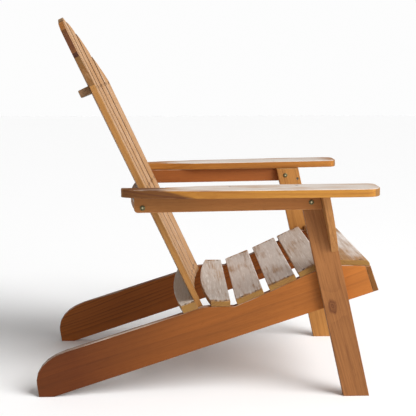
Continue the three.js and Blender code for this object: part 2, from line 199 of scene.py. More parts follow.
def makeFigure():
    # Rings, fibre and pores of a sawn board. Coord is across, along and through the board, in metres.
    tree, given, result = newGroup(
        "boardFigure", "ShaderNodeTree",
        {"Coord": (vectorSocket, None), "Seed": (floatSocket, 0.0), "Ring Width": (floatSocket, 0.006),
         "Wander": (floatSocket, 0.02), "Knot Place": (vectorSocket, None),
         "Knot Size": (floatSocket, 0.0)},
        {"Ring": (floatSocket, None), "Fibre": (floatSocket, None), "Pore": (floatSocket, None),
         "Tone": (floatSocket, None), "Knot": (floatSocket, None)},
    )
    across, along, through = split(tree, given["Coord"])
    seed = Field(tree, given["Seed"])
    knotSize = Field(tree, given["Knot Size"])
    knotAcross, knotAlong, unused = split(tree, given["Knot Place"])

    # Every seed is a board sawn from somewhere else in the tree.
    sx = across + seed * 0.37
    sy = along + seed * 1.71
    sz = through + seed * 0.53

    def waves(kind, detail, roughness=0.5):
        wide, long = grainWaves[kind]
        return noise(tree, join(tree, sx * wide, sy * long, sz * wide), detail, roughness)

    slow = waves("slow", 2.0) - 0.5
    quick = waves("quick", 3.0) - 0.5

    # The heart of the tree lies a few centimetres off the board, at a place of its own for each board.
    heart = addNode(tree, "ShaderNodeTexWhiteNoise", {"W": seed}, noise_dimensions="1D")
    red, green, blue = split(tree, heart.outputs["Color"])
    hx = across - (red - 0.5) * figure["heartOff"]
    hz = through + figure["heartBelow"] + green * figure["heartBelowMore"]
    wander = Field(tree, given["Wander"])
    radius = (hx * hx + hz * hz) ** 0.5 + slow * wander + quick * wander * 0.1

    # Grain lines bend round a knot, which has rings of its own.
    kx = across - knotAcross
    ky = (along - knotAlong) * figure["knotStretch"]
    lump = waves("lump", 3.0) - 0.5
    far = (kx * kx + ky * ky) ** 0.5 + quick * 0.006 + lump * figure["knotWobble"]
    reach = knotSize * figure["knotReach"] + 0.0001
    near = far / reach
    swell = (near * near * -1.0).exp()
    ringWidth = Field(tree, given["Ring Width"])
    knot = ramp(tree, far * -1.0, knotSize * -1.15, knotSize * -0.75)
    outer = (radius + swell * knotSize * figure["knotSwell"]) / ringWidth
    inner = far / (ringWidth * figure["knotRings"])
    phase = outer + (inner - outer) * knot
    part = phase.fract()
    late = part ** figure["sharpness"] * (1.0 - ramp(tree, part, 0.93, 1.0))
    year = addNode(tree, "ShaderNodeTexWhiteNoise", {"W": phase.floor() + seed}, noise_dimensions="1D")
    ring = late * (Field(tree, year.outputs["Value"]) * 0.8 + 0.2)

    plug(tree, ring, result["Ring"])
    plug(tree, waves("fibre", 4.0, 0.62), result["Fibre"])
    plug(tree, ramp(tree, waves("fine", 2.0), 0.6, 0.72), result["Pore"])
    plug(tree, waves("tone", 2.0), result["Tone"])
    plug(tree, knot * ramp(tree, knotSize, 0.0, 0.001), result["Knot"])
    return tree


bleach = {
    "skyFrom": 0.16, "skyTo": 0.5,  # how far up a face has to look before the wash takes
    "dust": (0.86, 0.84, 0.82, 1.0), "threadShade": (0.9, 0.87, 0.84, 1.0),
}


def makeBleach():
    # The sun and the rain wash out what faces the sky, in streaks and patches that follow the fibre.
    tree, given, result = newGroup(
        "skyBleach", "ShaderNodeTree",
        {"Color": (colourSocket, None), "Roughness": (floatSocket, 0.5), "Coord": (vectorSocket, None),
         "Seed": (floatSocket, 0.0), "Fibre": (floatSocket, 0.5), "Ring": (floatSocket, 0.0),
         "Amount": (floatSocket, 0.5), "Patchy": (floatSocket, 0.5), "Most": (floatSocket, 0.9),
         "Pale": (colourSocket, None)},
        {"Color": (colourSocket, None), "Roughness": (floatSocket, None)},
    )
    across, along, through = split(tree, given["Coord"])
    seed = Field(tree, given["Seed"])
    fibre = Field(tree, given["Fibre"])
    ring = Field(tree, given["Ring"])
    patchy = Field(tree, given["Patchy"])
    edge = 1.0 - Field(tree, given["Amount"])
    sky = split(tree, addNode(tree, "ShaderNodeNewGeometry").outputs["Normal"])[2]
    wide, long = grainWaves["cloud"]
    cloud = noise(tree, join(tree, across * wide + seed, along * long + seed, through * wide), 4.0, 0.6)
    wide, long = grainWaves["streak"]
    streak = noise(tree, join(tree, across * wide + seed, along * long, through * wide), 3.0, 0.6)
    wide, long = grainWaves["thread"]
    thread = noise(tree, join(tree, across * wide, along * long + seed, through * wide), 2.0)
    uneven = (cloud - 0.5) * 2.0 + (streak - 0.5) + (fibre - 0.5) * 0.6 - ring * 0.3
    left = ramp(tree, uneven * patchy + 0.5, edge - 0.4, edge + 0.36)
    cover = ramp(tree, sky, bleach["skyFrom"], bleach["skyTo"]) * left * Field(tree, given["Most"])
    dusty = mixColour(tree, streak * 1.6 - 0.3, bleach["dust"], (1.0, 1.0, 1.0, 1.0))
    shade = mixColour(tree, 1.0, given["Pale"], dusty, "MULTIPLY")
    threads = ramp(tree, thread, 0.55, 0.68) * left * 0.5
    shade = mixColour(tree, threads, shade, bleach["threadShade"])
    plug(tree, mixColour(tree, cover.clamp(), given["Color"], shade), result["Color"])
    plug(tree, Field(tree, given["Roughness"]) + cover.clamp() * 0.25, result["Roughness"])
    return tree


grime = (0.35, 0.3, 0.26, 1.0)


def makeWear():
    # Handled edges lose their oil: they are a little paler in places, and darker where dirt stays.
    tree, given, result = newGroup(
        "edgeWear", "ShaderNodeTree",
        {"Color": (colourSocket, None), "Edge": (floatSocket, 0.0), "Coord": (vectorSocket, None),
         "Amount": (floatSocket, 0.4), "Worn": (colourSocket, None)},
        {"Color": (colourSocket, None)},
    )
    across, along, through = split(tree, given["Coord"])
    wide, long = grainWaves["patch"]
    patch = noise(tree, join(tree, across * wide, along * long, through * wide), 3.0)
    edge = Field(tree, given["Edge"])
    amount = Field(tree, given["Amount"])
    rubbed = edge * ramp(tree, patch, 0.42, 0.62) * amount
    grimy = edge * ramp(tree, patch * -1.0, -0.46, -0.32) * amount
    worn = mixColour(tree, rubbed, given["Color"], given["Worn"])
    plug(tree, mixColour(tree, grimy * 0.8, worn, grime, "MULTIPLY"), result["Color"])
    return tree


figureGroup = makeFigure()
bleachGroup = makeBleach()
wearGroup = makeWear()
print("surface effects ready")


woodLook = {  # what every board starts from; a board's own values come on top
    "light": "#c98a52", "dark": "#8a5228", "heart": "#5a321a", "pale": "#d2c5b6", "worn": "#d0a274",
    "endShade": "#86613a", "knot": "#55290f", "poreShade": (0.45, 0.4, 0.36, 1.0),
    "seed": 0.0, "roughness": 0.5, "wear": 0.45,
    "ringWidth": 0.0062, "wander": 0.022, "relief": 0.00022,  # metres
    "ringDepth": 0.55, "fibreDepth": 0.9, "toneDepth": 0.9,  # how much each shows
    "bleach": 0.5, "patchy": 1.0, "most": 0.75,  # the pale wash: how far on, how uneven, how thick at most
    "endFade": 0.0,  # length at each end where the wash wears through
    "heartPlane": (0.0, 1.0, 0.0), "heartFrom": 9.0, "heartSoft": 0.03,  # heartwood is beyond this plane
    "knotPlace": (0.0, 0.0, 0.0), "knotSize": 0.0,
    "rearGain": (1.0, 1.0, 1.0), "frontGain": (1.0, 1.0, 1.0),  # painted light and shade: brighter or darker at the two ends
}


def slatTints(tree, look, base, across, board):
    # Each slat of the back has a tint of its own, which shows most on its ends and, mixed into the painted
    # shade, in the gaps. The long sides in the gaps and the broad faces beside them get painted shade, near
    # black, as shade between the slats.
    tints = look["tints"]
    tint = addNode(tree, "ShaderNodeValToRGB", {"Fac": board / len(tints) + 0.02})
    tint.color_ramp.interpolation = "CONSTANT"
    stops = tint.color_ramp.elements
    for i, shade in enumerate(tints):
        stop = stops[0] if i == 0 else stops.new(i / len(tints))
        stop.color = paint(shade)
    stops.remove(stops[-1])
    sawn = tint.outputs["Color"]
    rim = ramp(tree, across.abs(), look["rimFrom"], look["rimTo"]) * attribute(tree, "broad")
    # painted shade for the gaps: mostly the near-black heart colour, with a little of the slat's tint
    shaded = mixColour(tree, 0.75, sawn, paint(look["heart"]))
    base = mixColour(tree, 0.12, base, sawn)
    base = mixColour(tree, rim * look["rimShade"], base, shaded)
    base = mixColour(tree, attribute(tree, "gap") * look["gapShade"], base, shaded)
    return base, sawn


def woodMaterial(name, own):
    look = {**woodLook, **own}
    material = bpy.data.materials.new(name)
    material.use_nodes = True
    tree = material.node_tree
    shader = tree.nodes["Principled BSDF"]
    coord = addNode(tree, "ShaderNodeAttribute", attribute_name="grain").outputs["Vector"]
    across, along, through = split(tree, coord)
    endFace = attribute(tree, "endFace")
    board = attribute(tree, "board")
    seed = board * 3.17 + look["seed"]
    grown = useGroup(tree, figureGroup, {
        "Coord": coord, "Seed": seed, "Ring Width": look["ringWidth"], "Wander": look["wander"],
        "Knot Place": look["knotPlace"], "Knot Size": look["knotSize"],
    })
    ring, fibre, pore, tone, knot = [Field(tree, output) for output in grown]
    fibreSwing = fibre - 0.5
    toneSwing = tone - 0.5

    depth = ring * look["ringDepth"] + fibreSwing * look["fibreDepth"] + toneSwing * look["toneDepth"]
    base = mixColour(tree, (depth + 0.32).clamp(), paint(look["light"]), paint(look["dark"]))
    px, py, pz = look["heartPlane"]
    soft = look["heartSoft"]
    side = across * px + along * py + through * pz + fibreSwing * soft * 0.8
    heartwood = ramp(tree, side, look["heartFrom"] - soft, look["heartFrom"] + soft)
    base = mixColour(tree, heartwood * (0.8 + ring * 0.2), base, paint(look["heart"]))
    # painted light and shade: the colour is scaled from rearGain to frontGain along the board
    if look["rearGain"] != look["frontGain"]:
        forward = along * (look["frontSign"] / look["length"]) + 0.5
        lightAndShadeGain = mixColour(tree, forward.clamp(), (*look["rearGain"], 1.0), (*look["frontGain"], 1.0))
        base = mixColour(tree, 1.0, base, lightAndShadeGain, "MULTIPLY")
    sawn = paint(look["endShade"])
    if "tints" in look:
        base, sawn = slatTints(tree, look, base, across, board)
    knotted = (knot * (ring * 0.5 + fibre * 0.6 + 0.2)).clamp()
    base = mixColour(tree, knotted, base, paint(look["knot"]))
    base = mixColour(tree, pore * 0.4, base, look["poreShade"], "MULTIPLY")
    mottled = ring * 1.1 + toneSwing * 2.2 + fibreSwing * 1.4
    sawn = mixColour(tree, mottled.clamp() * 0.8, sawn, paint(look["dark"]))
    base = mixColour(tree, endFace * 0.8, base, sawn)

    worn = useGroup(tree, wearGroup, {
        "Color": base, "Edge": attribute(tree, "edge"), "Coord": coord, "Amount": look["wear"],
        "Worn": paint(look["worn"]),
    })
    rough = fibre * 0.22 + pore * 0.15 + endFace * 0.15 + look["roughness"]
    amount = look["bleach"] - endFace * 0.6
    if look["endFade"]:
        half = look["length"] / 2
        reach = along.abs() + fibreSwing * 0.02 + toneSwing * 0.07
        amount = amount - ramp(tree, reach, half - look["endFade"], half) * 0.7
    aged = useGroup(tree, bleachGroup, {
        "Color": worn["Color"], "Roughness": rough, "Coord": coord, "Seed": seed, "Fibre": fibre,
        "Ring": ring, "Amount": amount, "Patchy": look["patchy"], "Most": look["most"],
        "Pale": paint(look["pale"]),
    })
    height = fibre * 0.7 + ring * 0.35 - pore * 0.9 + knot * 0.3
    bump = addNode(tree, "ShaderNodeBump", {"Height": height, "Distance": look["relief"], "Strength": 0.8})
    plug(tree, aged["Color"], shader.inputs["Base Color"])
    plug(tree, aged["Roughness"], shader.inputs["Roughness"])
    plug(tree, bump.outputs["Normal"], shader.inputs["Normal"])
    shader.inputs["Specular IOR Level"].default_value = 0.25
    return material


screw = {  # radii and depths in metres
    "head": 0.0037, "headDeep": 0.0026, "shank": 0.0019, "length": 0.016, "sunk": 0.0005,
    "slotWide": 0.0005, "slotLong": 0.00187, "slotDeep": 0.0011, "bore": 0.0043, "boreDeep": 0.0042,
    "inset": 0.0102,  # from a slat's end to its screws, over the middle of the side rail
    "armShares": (0.14, 0.5, 0.84),  # how far along the arm rail the armrest's screws are
}
bolt = {"head": 0.0065, "headHigh": 0.0024, "shank": 0.003, "key": 0.0020, "keyDeep": 0.0014,
        "sleeve": 0.004}  # the cap nut's sleeve is wider than a shank


def crossReach(angle):  # from the middle of a cross recess to its wall
    wide, long = screw["slotWide"], screw["slotLong"]
    c, s = abs(math.cos(angle)) + 1e-9, abs(math.sin(angle)) + 1e-9
    return max(min(long / c, wide / s), min(long / s, wide / c))


def hexReach(angle):  # from the middle of a six-sided socket to its wall
    sixth = math.pi / 3
    return bolt["key"] / math.cos((angle + sixth / 2) % sixth - sixth / 2)


def turnedHead(name, rings, reach, deep, segments):
    # Rings run from the tip to the crown as (radius, height); the crown has a recess for the driver.
    # The recess gets a colour of its own, darker on the screws and paler on the bolts, and the "bright"
    # attribute marks it.
    work = bmesh.new()
    turns = [2 * math.pi * i / segments for i in range(segments)]
    loops = [[work.verts.new((r * math.cos(a), r * math.sin(a), z)) for a in turns] for r, z in rings]
    crown = rings[-1][1]
    for level, share in ((crown, 1.0), (crown - deep, 0.86)):
        inner = [(reach(a) * share, a) for a in turns]
        loops.append([work.verts.new((r * math.cos(a), r * math.sin(a), level)) for r, a in inner])
    for lower, upper in zip(loops, loops[1:]):
        for i in range(segments):
            work.faces.new((lower[i], lower[i - segments + 1], upper[i - segments + 1], upper[i]))
    tip = work.verts.new((0, 0, rings[0][1]))
    floor = work.verts.new((0, 0, crown - deep))
    for i in range(segments):
        work.faces.new((loops[0][i - segments + 1], loops[0][i], tip))
        work.faces.new((loops[-1][i], loops[-1][i - segments + 1], floor))
    bmesh.ops.recalc_face_normals(work, faces=work.faces)
    for face in work.faces:
        face.smooth = True
    mesh = bpy.data.meshes.new(name)
    work.to_mesh(mesh)
    work.free()
    bright = mesh.attributes.new("bright", "FLOAT", "FACE")
    limit = rings[-1][0] - 1e-5
    for face in mesh.polygons:
        inside = all(mesh.vertices[i].co.xy.length < limit for i in face.vertices)
        bright.data[face.index].value = 1.0 if inside and face.center.z > 0 else 0.0
    mesh.set_sharp_from_angle(angle=math.radians(35))
    return bpy.data.objects.new(name, mesh)


def makeFastenerTree():
    # Sets one head on every point, turned to the point's "aim" and spun by chance, as a driver leaves it.
    tree, given, result = newGroup(
        "fasteners", "GeometryNodeTree",
        {"Geometry": ("NodeSocketGeometry", None), "Head": ("NodeSocketObject", None),
         "Seed": ("NodeSocketInt", 1), "Material": ("NodeSocketMaterial", None)},
        {"Geometry": ("NodeSocketGeometry", None)},
    )
    head = addNode(tree, "GeometryNodeObjectInfo", {"Object": given["Head"]})
    aim = addNode(tree, "GeometryNodeInputNamedAttribute", {"Name": "aim"}, data_type="FLOAT_VECTOR")
    toward = addNode(tree, "FunctionNodeAlignRotationToVector", {"Vector": aim.outputs[0]}, axis="Z")
    chance = addNode(tree, "FunctionNodeRandomValue", {"Seed": given["Seed"]}, data_type="FLOAT")
    chance.inputs[3].default_value = 2 * math.pi
    angle = join(tree, 0.0, 0.0, chance.outputs[1])
    spin = addNode(tree, "FunctionNodeEulerToRotation", {0: angle})
    aimed = {0: toward.outputs[0], 1: spin.outputs[0]}
    turned = addNode(tree, "FunctionNodeRotateRotation", aimed, rotation_space="LOCAL")
    heads = addNode(tree, "GeometryNodeInstanceOnPoints", {
        "Points": given["Geometry"], "Instance": head.outputs["Geometry"], "Rotation": turned.outputs[0],
    })
    solid = addNode(tree, "GeometryNodeRealizeInstances", {0: heads.outputs[0]})
    painted = addNode(tree, "GeometryNodeSetMaterial", {
        "Geometry": solid.outputs[0], "Material": given["Material"],
    })
    plug(tree, painted.outputs[0], result["Geometry"])
    return tree


def growTree(name, tree, values, mesh=None):  # runs a geometry tree once, and keeps the plain mesh
    obj = bpy.data.objects.new(name, mesh or bpy.data.meshes.new(name))
    scene.collection.objects.link(obj)
    modifier = obj.modifiers.new("tree", "NODES")
    modifier.node_group = tree
    sockets = {s.name: s.identifier for s in tree.interface.items_tree if s.in_out == "INPUT"}
    for key, value in values.items():
        modifier[sockets[key]] = value
    return convert(obj)


def convert(obj):  # modifiers and node trees become a plain mesh
    bpy.context.view_layer.update()
    evaluated = obj.evaluated_get(bpy.context.evaluated_depsgraph_get())
    mesh = bpy.data.meshes.new_from_object(evaluated)
    obj.modifiers.clear()
    obj.data = mesh
    return obj


def metalMaterial(name, bright, dull, socket, roughness):
    material = bpy.data.materials.new(name)
    material.use_nodes = True
    tree = material.node_tree
    shader = tree.nodes["Principled BSDF"]
    place = addNode(tree, "ShaderNodeTexCoord").outputs["Object"]
    stain = noise(tree, place, 4.0, 0.6, scale=420.0)
    grain = noise(tree, place, 2.0, 0.5, scale=2600.0)
    tarnish = ramp(tree, stain, 0.42, 0.62)
    skin = mixColour(tree, tarnish, paint(bright), paint(dull))
    skin = mixColour(tree, attribute(tree, "bright"), skin, paint(socket))
    plug(tree, skin, shader.inputs["Base Color"])
    plug(tree, tarnish * 0.25 + grain * 0.15 + roughness, shader.inputs["Roughness"])
    plug(tree, 1.0 - tarnish * 0.45, shader.inputs["Metallic"])
    bump = addNode(tree, "ShaderNodeBump", {"Height": grain + stain * 0.5, "Distance": 0.00004})
    plug(tree, bump.outputs["Normal"], shader.inputs["Normal"])
    return material


fastenerTree = makeFastenerTree()
screwMetal = metalMaterial("dark_steel", "#6d665c", "#3a332b", "#2e2923", 0.38)
boltMetal = metalMaterial("aged_brass", "#77704f", "#3f3a28", "#d8cfae", 0.36)
screwSpots = {}  # board name: places and directions of the screws in its face


def placeHeads(name, head, spots, material, seed, slot, *nodes):
    mesh = bpy.data.meshes.new(name)
    mesh.from_pydata([spot for spot, aim in spots], [], [])
    aims = mesh.attributes.new("aim", "FLOAT_VECTOR", "POINT")
    for i, (spot, aim) in enumerate(spots):
        aims.data[i].vector = aim
    obj = growTree(name, fastenerTree, {"Head": head, "Seed": seed, "Material": material}, mesh)
    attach(obj, "root")
    if nodes:
        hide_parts(*nodes)


def drill(obj, spots):  # countersunk holes where the screws go in
    cutter = bmesh.new()
    deep = screw["boreDeep"]
    proud = 0.0006  # the cutter starts this far outside the wood, so that it cuts clean
    for spot, aim in spots:
        middle = spot + aim * (proud - deep) / 2
        spin = aim.to_track_quat("Z", "Y").to_matrix().to_4x4()
        bmesh.ops.create_cone(
            cutter, cap_ends=True, segments=24, radius1=screw["shank"], radius2=screw["bore"] + proud,
            depth=deep + proud, matrix=Matrix.Translation(middle) @ spin,
        )
    mesh = bpy.data.meshes.new("holes")
    cutter.to_mesh(mesh)
    cutter.free()
    holes = bpy.data.objects.new("holes", mesh)
    modifier = obj.modifiers.new("drill", "BOOLEAN")
    modifier.operation = "DIFFERENCE"
    modifier.solver = "EXACT"
    modifier.object = holes
    convert(obj)
    bpy.data.objects.remove(holes)


def copyNode(name):  # the board as one clean mesh, flat faces joined up
    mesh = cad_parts[name].data.copy()
    mesh.materials.clear()
    work = bmesh.new()
    work.from_mesh(mesh)
    bmesh.ops.remove_doubles(work, verts=work.verts, dist=2e-5)
    bmesh.ops.dissolve_limit(work, angle_limit=math.radians(0.15), verts=work.verts, edges=work.edges)
    work.to_mesh(mesh)
    work.free()
    mesh.name = name + "_board"
    obj = bpy.data.objects.new(name + "_board", mesh)
    scene.collection.objects.link(obj)
    return obj


def boardFrame(mesh):
    # A board's centre and its across, along and through directions. Its largest face gives the way
    # through, and its faces spread the furthest along it.
    faces = [(face.area, face.center.copy()) for face in mesh.polygons]
    total = sum(area for area, spot in faces)
    centre = sum((spot * area for area, spot in faces), Vector()) / total
    normal = max(mesh.polygons, key=lambda face: face.area).normal.copy()
    helper = Vector((0, 0, 1)) if abs(normal.z) < 0.9 else Vector((1, 0, 0))
    first = normal.cross(helper).normalized()
    second = normal.cross(first)
    xx = sum(area * (spot - centre).dot(first) ** 2 for area, spot in faces)
    yy = sum(area * (spot - centre).dot(second) ** 2 for area, spot in faces)
    xy = sum(area * (spot - centre).dot(first) * (spot - centre).dot(second) for area, spot in faces)
    turn = 0.5 * math.atan2(2 * xy, xx - yy)
    along = first * math.cos(turn) + second * math.sin(turn)
    across = normal.cross(along)
    return {"centre": centre, "across": across, "along": along, "through": normal}


def inBoard(where, point):
    offset = point - where["centre"]
    return Vector((offset.dot(where["across"]), offset.dot(where["along"]), offset.dot(where["through"])))


def easeEdges(obj, radius, segments=2, least=22):  # rounds the edges that turn by more than least degrees
    work = bmesh.new()
    work.from_mesh(obj.data)
    sharp = [e for e in work.edges if e.is_manifold and e.calc_face_angle(0) > math.radians(least)]
    edge = work.faces.layers.float.new("edge")
    bevelled = bmesh.ops.bevel(
        work, geom=sharp, offset=radius, segments=segments, profile=0.5, affect="EDGES",
        clamp_overlap=True,
    )
    for face in bevelled["faces"]:
        face[edge] = 1.0
    for face in work.faces:
        face.smooth = True
    work.to_mesh(obj.data)
    work.free()
    obj.data.set_sharp_from_angle(angle=math.radians(42))


hair = 0.001  # a small step off a face, in metres, to see which way it looks


def markGrain(obj, coordOf, endLimit=0.6):
    # Writes each point's place in its board, the board's number, and which faces show end grain.
    mesh = obj.data
    mesh.attributes.new("grain", "FLOAT_VECTOR", "POINT")
    mesh.attributes.new("board", "FLOAT", "POINT")
    mesh.attributes.new("endFace", "FLOAT", "FACE")
    grain, board, endFace = [mesh.attributes[name] for name in ("grain", "board", "endFace")]
    for vertex in mesh.vertices:
        spot, boardNumber = coordOf(vertex.co)
        grain.data[vertex.index].vector = spot
        board.data[vertex.index].value = boardNumber
    for face in mesh.polygons:
        here, unused = coordOf(face.center)
        ahead, unused = coordOf(face.center + face.normal * hair)
        endFace.data[face.index].value = 1.0 if abs(ahead.y - here.y) > endLimit * hair else 0.0


def weightNormals(obj):
    modifier = obj.modifiers.new("weight", "WEIGHTED_NORMAL")
    modifier.keep_sharp = True
    convert(obj)


endZone = 0.004  # a board's end is what lies this close to its furthest point, in metres


def endSpots(obj, where, shares):  # screw places near both ends of a board that lies across the chair
    out = where["through"] * (1 if where["through"].z > 0 or where["through"].y < -0.5 else -1)
    width = max(v.co.x for v in obj.data.vertices)
    spots = []
    for side in (-1, 1):
        tips = [v.co for v in obj.data.vertices if side * v.co.x > width - endZone]
        places = [tip.dot(where["across"]) for tip in tips]
        top = max(tip.dot(out) for tip in tips)
        for share in shares:
            across = min(places) + (max(places) - min(places)) * share
            spot = where["across"] * across + out * top
            spots.append((Vector((side * (width - screw["inset"]), spot.y, spot.z)), out))
    return spots


def armSpots(obj, where, side):  # down through the armrest into the rail under it
    low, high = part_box("arm_rail_" + side)
    out = where["through"] * (1 if where["through"].z > 0 else -1)
    level = max(v.co.dot(out) for v in obj.data.vertices)
    spots = []
    for share in screw["armShares"]:
        x, y = (low.x + high.x) / 2, low.y + (high.y - low.y) * share
        spots.append((Vector((x, y, (level - out.x * x - out.y * y) / out.z)), out))
    return spots


def inBoardTerms(where, own):  # knots and heartwood are given in the chair's frame, not in the board's
    placed = {**own, "frontSign": -1.0 if where["along"].y > 0 else 1.0}  # -1: along runs rearward
    if "knotAt" in own:
        placed["knotPlace"] = inBoard(where, Vector(own["knotAt"]))
    if "heartAt" in own:
        toward = Vector(own["heartToward"]).normalized()
        placed["heartPlane"] = [toward.dot(where[axis]) for axis in ("across", "along", "through")]
        placed["heartFrom"] = toward.dot(Vector(own["heartAt"]) - where["centre"])
    return placed


def finishBoard(name, own):
    obj = copyNode(name)
    where = boardFrame(obj.data)
    own = inBoardTerms(where, own)
    if own.get("screws"):
        screwSpots[name] = endSpots(obj, where, own["screws"])
    if name.startswith("armrest"):
        screwSpots[name] = armSpots(obj, where, name.split("_")[1])
    if name in screwSpots:
        drill(obj, screwSpots[name])
    spans = [inBoard(where, vertex.co).y for vertex in obj.data.vertices]
    easeEdges(obj, boardEase)
    markGrain(obj, lambda point: (inBoard(where, point), 0))
    weightNormals(obj)
    material = woodMaterial(name + "_wood", {"length": max(spans) - min(spans), **own})
    obj.data.materials.clear()
    obj.data.materials.append(material)
    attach(obj, "root")
    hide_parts(name)


boardEase = 0.0005  # radius of a board's long edges
seedStep = 1.3  # keeps the grain of two boards of one kind apart

redBoard = {"light": "#b4641f", "dark": "#7a4113", "heart": "#5c3219", "ringDepth": 0.35,
            "ringWidth": 0.011, "fibreDepth": 0.6, "toneDepth": 0.8}
honeyBoard = {"light": "#a16b3b", "dark": "#724420", "ringDepth": 0.6, "ringWidth": 0.009, "wander": 0.01,
              "fibreDepth": 1.5}
goldBoard = {"light": "#bd8334", "dark": "#8e561e", "ringWidth": 0.008, "wander": 0.012}
greyBoard = {"light": "#b58a5e", "dark": "#8a6541", "pale": "#dad1ca", "bleach": 0.8, "most": 0.97,
             "roughness": 0.62, "relief": 0.0004, "endShade": "#8a652c", "endFade": 0.02}

boardLooks = {  # "screws" says how far over a board's width the screws near its ends are
    # painted light and shade: rearGain and frontGain darken the rear ends and brighten the fronts of the
    # side rails, and a little of the arm rails
    "side_rail": {**redBoard, "seed": 2.0, "wander": 0.03,
                  "rearGain": (0.29, 0.23, 0.12), "frontGain": (1.25, 1.45, 2.0)},
    "front_leg": {**honeyBoard, "seed": 5.0},
    "arm_rail": {**redBoard, "light": "#af733a", "dark": "#7d4c26", "seed": 8.0,
                 "rearGain": (0.85, 0.85, 0.85), "frontGain": (1.1, 1.1, 1.1)},
    "armrest": {**goldBoard, "seed": 11.0, "bleach": 0.84, "patchy": 0.8, "most": 0.92,
                "pale": "#dad2ca", "endFade": 0.12},
    "arm_bracket": {**honeyBoard, "light": "#b57f48", "dark": "#825227", "seed": 14.0},
    "seat_slat": {**greyBoard, "dark": "#7a5430", "seed": 17.0, "screws": (0.24, 0.76)},
    "front_apron": {**redBoard, "seed": 31.0, "screws": (0.26, 0.74), "endShade": "#634520",
                    "bleach": 0.3},
    "lower_back_rail": {**greyBoard, "seed": 33.0, "screws": (0.28, 0.72), "pale": "#e4d8ca",
                        "bleach": 0.88, "most": 1.0},
    "middle_back_rail": {**honeyBoard, "seed": 35.0, "pale": "#d6cec6", "bleach": 0.9, "most": 0.95},
    "upper_back_rail": {**honeyBoard, "light": "#8a6a4c", "dark": "#5c4530", "seed": 37.0,
                        "endShade": "#8a684a"},
}

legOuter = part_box("front_leg_right")[0].x
armLow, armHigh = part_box("armrest_right")
ownLooks = {  # what sets single boards apart from their family
    # the right front leg's rearGain and frontGain paint light and shade along it
    "front_leg_right": {"knotAt": (legOuter, -0.318, 0.240), "knotSize": 0.011,
                        "rearGain": (1.14, 1.13, 1.1), "frontGain": (0.92, 0.9, 0.88)},
    "front_leg_left": {"light": "#b98040", "dark": "#8a5827"},
    "armrest_left": {"light": "#b5762f", "dark": "#864e19"},
    "armrest_right": {"heartAt": (armLow.x, armHigh.y - 0.098, armHigh.z - 0.006), "heartSoft": 0.0035,
                      "heartToward": (0, 0.23, -0.97)},
    # the far side rail is painted darker all along, as shade, with gains below one
    "side_rail_left": {"ringDepth": 1.0, "ringWidth": 0.007, "rearGain": (0.85, 0.85, 1.0),
                       "frontGain": (0.95, 0.95, 1.0)},
    "arm_rail_left": {"light": "#a25c27", "dark": "#6f3a16"},
    "seat_slat_1": {"bleach": 0.76, "patchy": 0.85, "endFade": 0.2},
    "seat_slat_2": {"pale": "#d3c6bb"},
    "seat_slat_5": {"pale": "#c4bab1"},
}

for family, look in boardLooks.items():
    members = [name for name in sorted(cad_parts) if name.startswith(family)]
    for i, name in enumerate(members):
        own = {**look, "seed": look["seed"] + i * seedStep, **ownLooks.get(name, {})}
        finishBoard(name, own)
print("boards ready")


back = {
    "count": 7, "width": 0.060, "thick": 0.014, "length": 0.817, "lean": math.radians(25.3),
    "pitchLow": 0.0644, "pitchHigh": 0.0705,  # between the slats' centre lines, at the seat and at the top
    "dish": 1.460,  # radius that the slats lie round
    "quarterTurn": 1.5708,
    "archWide": 0.246, "archDeep": 0.205,
    "arch": [(0, 0), (0.264, 0.093), (0.407, 0.18), (0.549, 0.317), (0.683, 0.498), (0.813, 0.698),
             (1, 1)],  # shares of archWide out, and of archDeep down
    "bulge": 0.005,  # the outermost slats' tops are cut rounder than the arch by this much
    "topRound": 0.0045, "edgeRound": 0.0026,
    "screwsAcross": (-0.3, 0.3),  # shares of a slat's width
    "screwsBelowTop": 0.011,  # from the lower rail's top
    "cadEase": 0.0012,
}
tipLow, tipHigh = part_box("back_slat_4")
back["foot"] = Vector((
    0,
    tipHigh.y - (back["length"] - back["cadEase"]) * math.sin(back["lean"]),
    tipLow.z,
))


